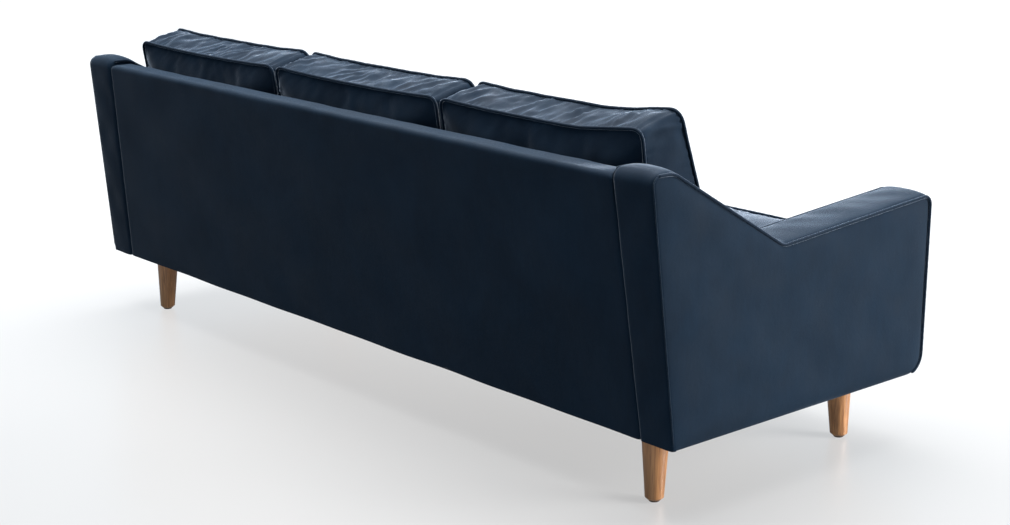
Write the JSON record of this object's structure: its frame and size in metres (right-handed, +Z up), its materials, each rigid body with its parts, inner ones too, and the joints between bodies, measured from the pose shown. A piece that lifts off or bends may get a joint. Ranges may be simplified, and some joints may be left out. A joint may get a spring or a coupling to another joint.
{
  "type": "sofa",
  "caption": "Three-seat sofa in dark blue velvet with sloping arms, loose piped cushions and tapered splayed wooden legs.",
  "frame": {"origin": "on the floor, under the centre of the whole sofa's box", "axes": "+X along the sofa to its right-hand end as seen from the front, -Y out of its front, +Z up"},
  "size_m": [2.14, 0.846, 0.7688],
  "materials": {
    "velvet": "short dense pile, soft sheen",
    "piping_velvet": "velvet cut on the bias over cord",
    "leg_wood": "satin lacquered, medium brown",
    "frame_wood": "planed, unfinished",
    "plywood": "sanded, unfinished",
    "steel": "plain",
    "glide_plastic": "matte",
    "foam": "open-cell foam",
    "webbing": "woven elastic",
    "dust_cloth": "thin non-woven cloth",
    "lining": "plain woven platform cloth"
  },
  "bodies": {
    "sofa_body": {"arm_back_strip_left": "velvet", "arm_back_strip_right": "velvet", "arm_front_pad_left": "velvet", "arm_front_pad_right": "velvet", "arm_front_post_left": "frame_wood", "arm_front_post_right": "frame_wood", "arm_inner_pad_left": "velvet", "arm_inner_pad_right": "velvet", "arm_inner_panel_left": "plywood", "arm_inner_panel_right": "plywood", "arm_outer_cover_left": "velvet", "arm_outer_cover_right": "velvet", "arm_outer_panel_left": "plywood", "arm_outer_panel_right": "plywood", "arm_piping_left": "piping_velvet", "arm_piping_right": "piping_velvet", "arm_rear_post_left": "frame_wood", "arm_rear_post_right": "frame_wood", "arm_top_pad_left": "velvet", "arm_top_pad_right": "velvet", "back_inner_pad": "velvet", "back_lower_rail": "frame_wood", "back_outer_cover": "velvet", "back_post_left": "frame_wood", "back_post_right": "frame_wood", "back_top_pad": "velvet", "back_top_rail": "frame_wood", "back_webbing": "webbing", "base_back_rail": "frame_wood", "base_cross_rail_left": "frame_wood", "base_cross_rail_right": "frame_wood", "base_front_rail": "frame_wood", "base_side_rail_left": "frame_wood", "base_side_rail_right": "frame_wood", "dust_cover": "dust_cloth", "front_border_pad": "velvet", "leg_blocks": "frame_wood", "leg_bolts": "steel", "leg_front_left": "leg_wood", "leg_front_right": "leg_wood", "leg_glides": "glide_plastic", "leg_plate_screws": "steel", "leg_plates": "steel", "leg_rear_left": "leg_wood", "leg_rear_right": "leg_wood", "seat_deck_pad": "lining", "seat_springs": "steel", "spring_clips": "steel"},
    "seat_cushion_left": {"seat_cushion_core_left": "foam", "seat_cushion_cover_left": "velvet"},
    "seat_cushion_centre": {"seat_cushion_core_centre": "foam", "seat_cushion_cover_centre": "velvet"},
    "seat_cushion_right": {"seat_cushion_core_right": "foam", "seat_cushion_cover_right": "velvet"},
    "back_cushion_left": {"back_cushion_core_left": "foam", "back_cushion_cover_left": "velvet"},
    "back_cushion_centre": {"back_cushion_core_centre": "foam", "back_cushion_cover_centre": "velvet"},
    "back_cushion_right": {"back_cushion_core_right": "foam", "back_cushion_cover_right": "velvet"}
  },
  "joints": [
    {"name": "seat_cushion_left_slide", "type": "slide", "parent": "sofa_body", "child": "seat_cushion_left", "axis": [0, -1, 0], "range_m": [0, 0.7]},
    {"name": "seat_cushion_centre_slide", "type": "slide", "parent": "sofa_body", "child": "seat_cushion_centre", "axis": [0, -1, 0], "range_m": [0, 0.7]},
    {"name": "seat_cushion_right_slide", "type": "slide", "parent": "sofa_body", "child": "seat_cushion_right", "axis": [0, -1, 0], "range_m": [0, 0.7]},
    {"name": "back_cushion_left_slide", "type": "slide", "parent": "sofa_body", "child": "back_cushion_left", "axis": [0, 0, 1], "range_m": [0, 0.42]},
    {"name": "back_cushion_centre_slide", "type": "slide", "parent": "sofa_body", "child": "back_cushion_centre", "axis": [0, 0, 1], "range_m": [0, 0.42]},
    {"name": "back_cushion_right_slide", "type": "slide", "parent": "sofa_body", "child": "back_cushion_right", "axis": [0, 0, 1], "range_m": [0, 0.42]}
  ]
}
